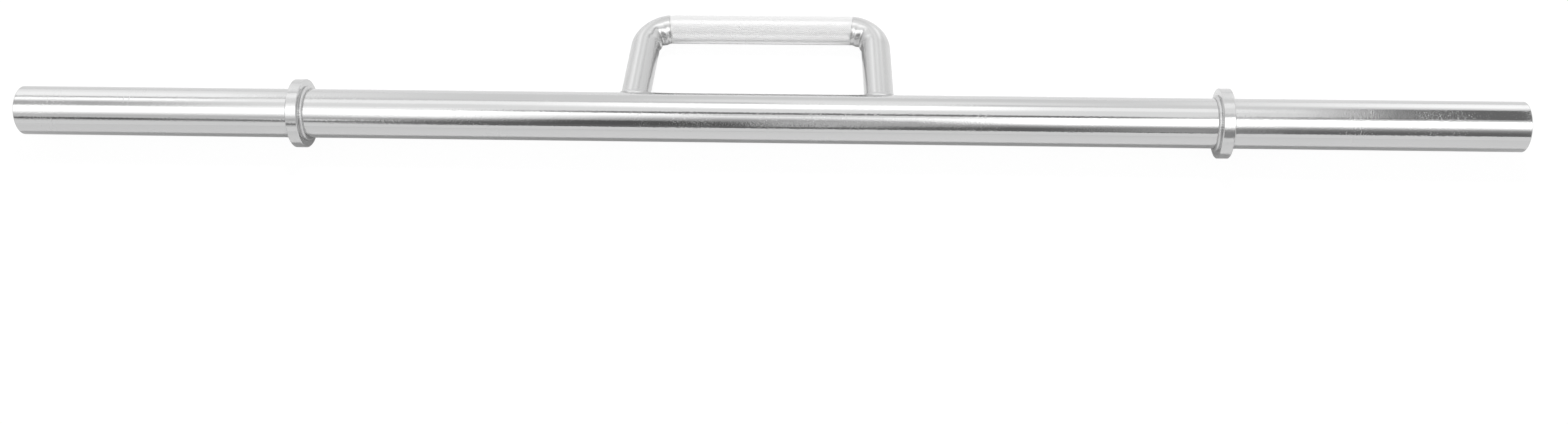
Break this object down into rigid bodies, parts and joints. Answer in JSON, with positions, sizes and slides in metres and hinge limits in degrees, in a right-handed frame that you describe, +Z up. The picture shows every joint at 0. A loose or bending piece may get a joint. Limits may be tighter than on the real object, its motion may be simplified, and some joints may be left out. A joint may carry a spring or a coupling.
{
  "type": "plate-loaded carry bar",
  "caption": "Straight chromed steel tube with plain plate sleeves, welded stop rings and a bent, knurled handle welded across the middle.",
  "frame": {"origin": "on the floor under the centre of the bounding box; x = 0 is the bar's mid-length", "axes": "+X along the bar, +Y from the bar towards the grip, +Z up; the part lies as it comes to rest, on both stop rings and the grip"},
  "size_m": [1.52, 0.1686, 0.07],
  "materials": {
    "tube_chrome": "bright chrome plate over drawn tube",
    "plug_chrome": "chrome plate over a ground face",
    "ring_chrome": "chrome plate over fine turning marks",
    "weld_chrome": "chrome plate over a rippled weld bead",
    "handle_chrome": "chrome plate, diamond knurl on the grip"
  },
  "bodies": {
    "root": {"main_tube": "tube_chrome", "left_end_plug": "plug_chrome", "right_end_plug": "plug_chrome", "left_stop_ring": "ring_chrome", "right_stop_ring": "ring_chrome", "left_ring_weld": "weld_chrome", "right_ring_weld": "weld_chrome", "handle": "handle_chrome", "left_foot_weld": "weld_chrome", "right_foot_weld": "weld_chrome"}
  },
  "joints": []
}
